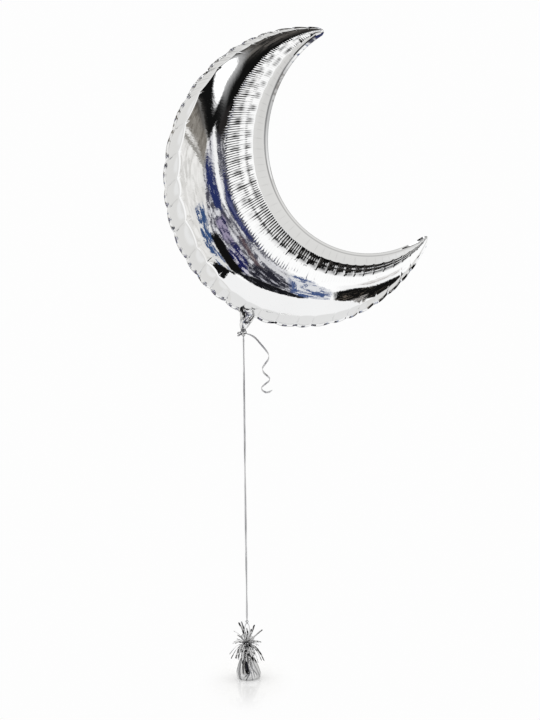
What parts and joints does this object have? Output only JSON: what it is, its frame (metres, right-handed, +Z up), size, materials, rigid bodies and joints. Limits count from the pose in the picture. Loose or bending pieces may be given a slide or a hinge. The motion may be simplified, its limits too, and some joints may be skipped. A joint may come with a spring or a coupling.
{
  "type": "crescent moon foil balloon",
  "caption": "Inflated crescent moon foil balloon, tied at its neck to a ribbon with a curled free end and held down by a foil wrapped tassel weight that swings and turns.",
  "frame": {"origin": "centre of lift of the inflated envelope, on its flat seam plane, right above the knot at its neck", "axes": "+Z up along the ribbon, -Y towards the viewer of the picture, +X towards the open side of the crescent"},
  "size_m": [0.6603, 0.2026, 1.6252],
  "materials": {
    "mirror_foil": "metallised film, mirror bright, finely wrinkled along its seams",
    "ribbon": "white curling ribbon, satin with fine ribs along it",
    "loop_cord": "narrow silver ribbon, twisted to a cord",
    "wrap_foil": "crumpled bright foil, pleated into its gathered mouth",
    "tassel_foil": "cut strips of crinkled bright foil",
    "weight_block": "plain filler block, hidden in the wrap"
  },
  "bodies": {
    "balloon": {"foil_front": "mirror_foil", "foil_back": "mirror_foil", "fill_neck": "mirror_foil", "neck_tie": "ribbon"},
    "knot": {"ribbon_knot": "ribbon", "ribbon_tail": "ribbon"},
    "ribbon": {"ribbon_run": "ribbon"},
    "hitch": {"hitch_knot": "ribbon"},
    "weight": {"weight_loop": "loop_cord", "weight_core": "weight_block", "foil_wrap": "wrap_foil", "gather_band": "wrap_foil", "tassel_hub": "tassel_foil", "tassel_01": "tassel_foil", "tassel_02": "tassel_foil", "tassel_03": "tassel_foil", "tassel_04": "tassel_foil", "tassel_05": "tassel_foil", "tassel_06": "tassel_foil", "tassel_07": "tassel_foil", "tassel_08": "tassel_foil", "tassel_09": "tassel_foil", "tassel_10": "tassel_foil", "tassel_11": "tassel_foil", "tassel_12": "tassel_foil", "tassel_13": "tassel_foil", "tassel_14": "tassel_foil", "tassel_15": "tassel_foil", "tassel_16": "tassel_foil", "tassel_17": "tassel_foil", "tassel_18": "tassel_foil", "tassel_19": "tassel_foil", "tassel_20": "tassel_foil"}
  },
  "joints": [
    {"name": "ribbon_sway", "type": "hinge", "parent": "balloon", "child": "knot", "pos_m": [0, 0, -0.3407], "axis": [0, 1, 0], "range_deg": [-25, 25]},
    {"name": "ribbon_swing", "type": "hinge", "parent": "knot", "child": "ribbon", "pos_m": [0, 0, -0.3407], "axis": [1, 0, 0], "range_deg": [-30, 30]},
    {"name": "weight_sway", "type": "hinge", "parent": "ribbon", "child": "hitch", "pos_m": [0, 0, -1.0618], "axis": [0, 1, 0], "range_deg": [-45, 45]},
    {"name": "weight_turn", "type": "hinge", "parent": "hitch", "child": "weight", "pos_m": [0, 0, -1.0618], "axis": [0, 0, 1], "continuous": true}
  ]
}
